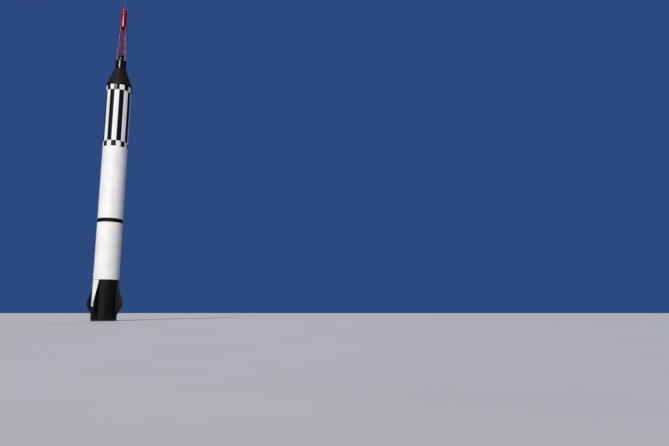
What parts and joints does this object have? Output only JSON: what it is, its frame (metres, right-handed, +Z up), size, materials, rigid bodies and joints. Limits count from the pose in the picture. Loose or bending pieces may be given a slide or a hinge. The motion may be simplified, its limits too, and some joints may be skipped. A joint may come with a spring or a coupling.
{
  "type": "crewed single-stage rocket",
  "caption": "Slender crewed rocket with finned tail, turning air rudders and jet vanes, striped upper body, cone capsule and lattice escape tower.",
  "frame": {"origin": "centre of the base ring's underside, on the launch stand", "axes": "+Z up along the rocket to its spike; the four fins lie along +X, +Y, -X and -Y"},
  "size_m": [2.86, 2.86, 25.41],
  "materials": {
    "white_paint": "satin white enamel on aluminium skin",
    "black_paint": "satin black enamel on aluminium skin",
    "capsule_black": "black coating on corrugated heat-resisting shingles",
    "red_paint": "semi-gloss red enamel on welded steel tube",
    "bare_steel": "unpainted steel, dull",
    "graphite": "machined graphite",
    "window_glass": "dark capsule window glass"
  },
  "bodies": {
    "rocket": {"tail_base_ring": "black_paint", "tail_skirt": "black_paint", "heat_shield": "bare_steel", "engine_nozzle": "bare_steel", "engine_block": "bare_steel", "jet_vane_ring": "bare_steel", "fin_1": "black_paint", "fin_2": "black_paint", "fin_3": "black_paint", "fin_4": "black_paint", "lower_tank_section": "white_paint", "tank_joint_ring": "black_paint", "upper_tank_section": "white_paint", "aft_section_ring": "white_paint", "instrument_compartment": "white_paint", "capsule_adapter": "white_paint", "cable_tunnel": "white_paint", "junction_box": "bare_steel", "clamp_ring": "bare_steel", "capsule_cone": "capsule_black", "side_hatch": "capsule_black", "window_pane": "window_glass", "recovery_section": "capsule_black", "antenna_housing": "capsule_black", "tower_base_ring": "red_paint", "tower_frame_1": "red_paint", "tower_frame_2": "red_paint", "tower_frame_3": "red_paint", "motor_base_plate": "red_paint", "escape_motor": "red_paint", "escape_nozzle_1": "red_paint", "escape_nozzle_2": "red_paint", "escape_nozzle_3": "red_paint", "aerospike": "bare_steel"},
    "air_rudder_1": {"air_rudder_1": "black_paint"},
    "jet_vane_1": {"jet_vane_1": "graphite"},
    "air_rudder_2": {"air_rudder_2": "black_paint"},
    "jet_vane_2": {"jet_vane_2": "graphite"},
    "air_rudder_3": {"air_rudder_3": "black_paint"},
    "jet_vane_3": {"jet_vane_3": "graphite"},
    "air_rudder_4": {"air_rudder_4": "black_paint"},
    "jet_vane_4": {"jet_vane_4": "graphite"}
  },
  "joints": [
    {"name": "rudder_turn_1", "type": "hinge", "parent": "rocket", "child": "air_rudder_1", "pos_m": [1.2, 0, 1.08], "axis": [1, 0, 0], "range_deg": [-25, 25]},
    {"name": "vane_turn_1", "type": "hinge", "parent": "rocket", "child": "jet_vane_1", "pos_m": [0.28, 0, 0.265], "axis": [1, 0, 0], "range_deg": [-25, 25]},
    {"name": "rudder_turn_2", "type": "hinge", "parent": "rocket", "child": "air_rudder_2", "pos_m": [0, 1.2, 1.08], "axis": [0, 1, 0], "range_deg": [-25, 25]},
    {"name": "vane_turn_2", "type": "hinge", "parent": "rocket", "child": "jet_vane_2", "pos_m": [0, 0.28, 0.265], "axis": [0, 1, 0], "range_deg": [-25, 25]},
    {"name": "rudder_turn_3", "type": "hinge", "parent": "rocket", "child": "air_rudder_3", "pos_m": [-1.2, 0, 1.08], "axis": [-1, 0, 0], "range_deg": [-25, 25]},
    {"name": "vane_turn_3", "type": "hinge", "parent": "rocket", "child": "jet_vane_3", "pos_m": [-0.28, 0, 0.265], "axis": [-1, 0, 0], "range_deg": [-25, 25]},
    {"name": "rudder_turn_4", "type": "hinge", "parent": "rocket", "child": "air_rudder_4", "pos_m": [0, -1.2, 1.08], "axis": [0, -1, 0], "range_deg": [-25, 25]},
    {"name": "vane_turn_4", "type": "hinge", "parent": "rocket", "child": "jet_vane_4", "pos_m": [0, -0.28, 0.265], "axis": [0, -1, 0], "range_deg": [-25, 25]}
  ],
  "couplings": [
    {"joint": "vane_turn_1", "follows": "rudder_turn_1", "ratio": 1},
    {"joint": "vane_turn_2", "follows": "rudder_turn_2", "ratio": 1},
    {"joint": "vane_turn_3", "follows": "rudder_turn_3", "ratio": 1},
    {"joint": "vane_turn_4", "follows": "rudder_turn_4", "ratio": 1}
  ]
}
